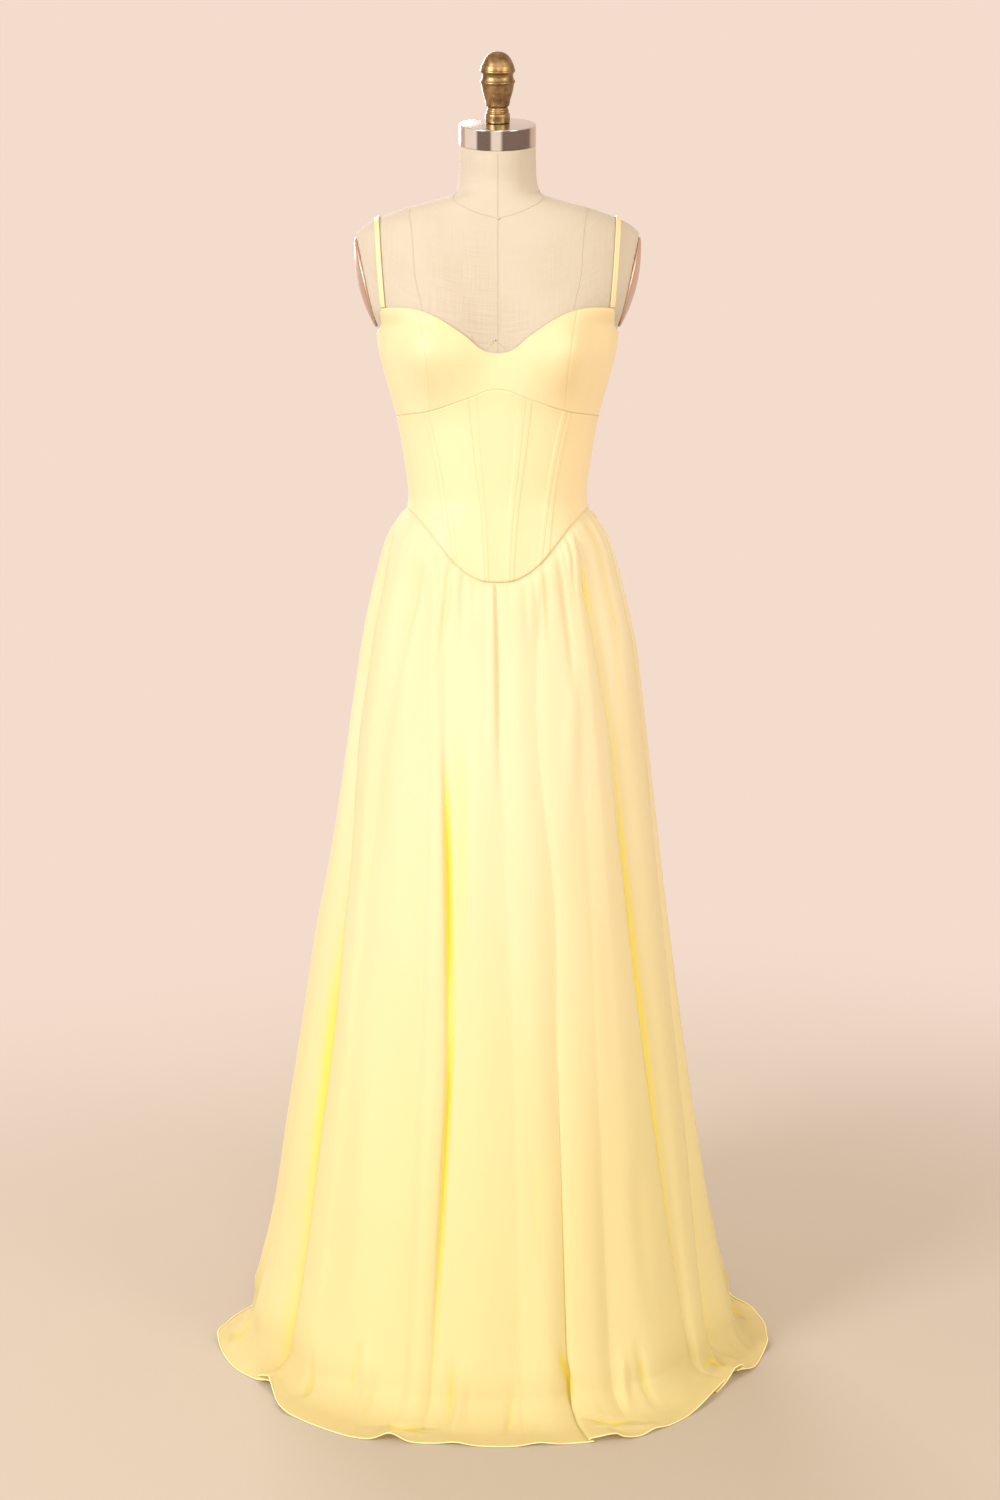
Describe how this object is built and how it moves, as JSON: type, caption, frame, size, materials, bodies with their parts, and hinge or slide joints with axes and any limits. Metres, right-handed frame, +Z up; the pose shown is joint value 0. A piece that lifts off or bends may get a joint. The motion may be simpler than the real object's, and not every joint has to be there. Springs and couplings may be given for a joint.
{
  "type": "chiffon maxi dress on a dress form",
  "caption": "Sleeveless maxi dress with narrow straps, boned sweetheart bodice, basque waist and gathered skirt, worn on a limbless padded dress form that stands on a round base.",
  "frame": {"origin": "on the floor, at the middle of the underside of the stand's base", "axes": "+Z up, -Y towards the front of the dress, +X to the right seen from the front"},
  "size_m": [0.7495, 0.7483, 1.6979],
  "materials": {
    "satin": "smooth chiffon over a lining, soft sheen",
    "chiffon": "matte crepe chiffon",
    "linen": "natural linen, fine plain weave",
    "steel": "polished",
    "brass": "antique, dark in the hollows",
    "iron": "satin black"
  },
  "bodies": {
    "root": {"form_torso": "linen", "neck_cap": "steel", "finial": "brass", "arm_plate_left": "steel", "arm_plate_right": "steel", "stand_pole": "steel", "stand_socket": "iron", "stand_base": "iron", "strap_left": "satin", "strap_right": "satin", "bust_front": "satin", "bust_side_left": "satin", "bust_side_right": "satin", "corset_centre": "satin", "corset_inner_left": "satin", "corset_inner_right": "satin", "corset_side_left": "satin", "corset_side_right": "satin", "bodice_back_left": "satin", "bodice_back_right": "satin", "skirt_front": "chiffon", "skirt_back_left": "chiffon", "skirt_back_right": "chiffon"}
  },
  "joints": []
}
